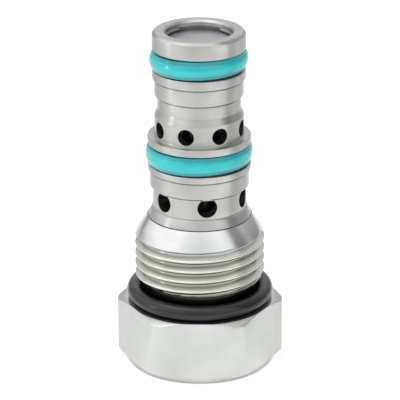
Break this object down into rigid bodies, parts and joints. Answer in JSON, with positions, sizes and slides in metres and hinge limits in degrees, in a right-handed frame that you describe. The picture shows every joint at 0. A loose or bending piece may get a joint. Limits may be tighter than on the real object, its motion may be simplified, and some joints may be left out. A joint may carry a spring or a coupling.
{
  "type": "cartridge valve",
  "caption": "Screw-in hydraulic cartridge valve with a hexagon head, threaded body, drilled cage, sliding spool and turquoise seals.",
  "frame": {"origin": "centre of the hexagon's end face", "axes": "+Z along the valve's axis, from the hexagon to the nose; a hexagon flat faces -Y"},
  "size_m": [0.0283, 0.0254, 0.0586],
  "materials": {
    "zinc_plated_steel": "bright zinc plate over turned steel",
    "ground_steel": "turned and ground, satin",
    "lapped_steel": "lapped, fine satin",
    "spring_wire": "drawn wire, smooth",
    "shim_steel": "cold rolled strip",
    "orifice_brass": "turned",
    "turquoise_seal": "cast polyurethane, glossy and slightly translucent",
    "hard_ring_plastic": "cut PTFE, matt",
    "black_nitrile": "moulded nitrile, oiled satin"
  },
  "bodies": {
    "valve_body": {"hex_body": "zinc_plated_steel", "port_o_ring": "black_nitrile", "cage": "ground_steel", "cage_backup_ring": "hard_ring_plastic", "cage_o_ring": "black_nitrile", "middle_seal": "turquoise_seal", "nose_seal": "turquoise_seal", "nose_snap_ring": "spring_wire", "main_spring": "spring_wire", "spring_guide": "lapped_steel", "preload_shim_thick": "shim_steel", "preload_shim_thin": "shim_steel"},
    "spool": {"spool": "lapped_steel", "spool_orifice": "orifice_brass"}
  },
  "joints": [
    {"name": "spool_slide", "type": "slide", "parent": "valve_body", "child": "spool", "axis": [0, 0, -1], "range_m": [0, 0.0032], "stiffness_N_per_m": 11500, "springref_m": -0.0064, "deforming": ["main_spring"]}
  ]
}
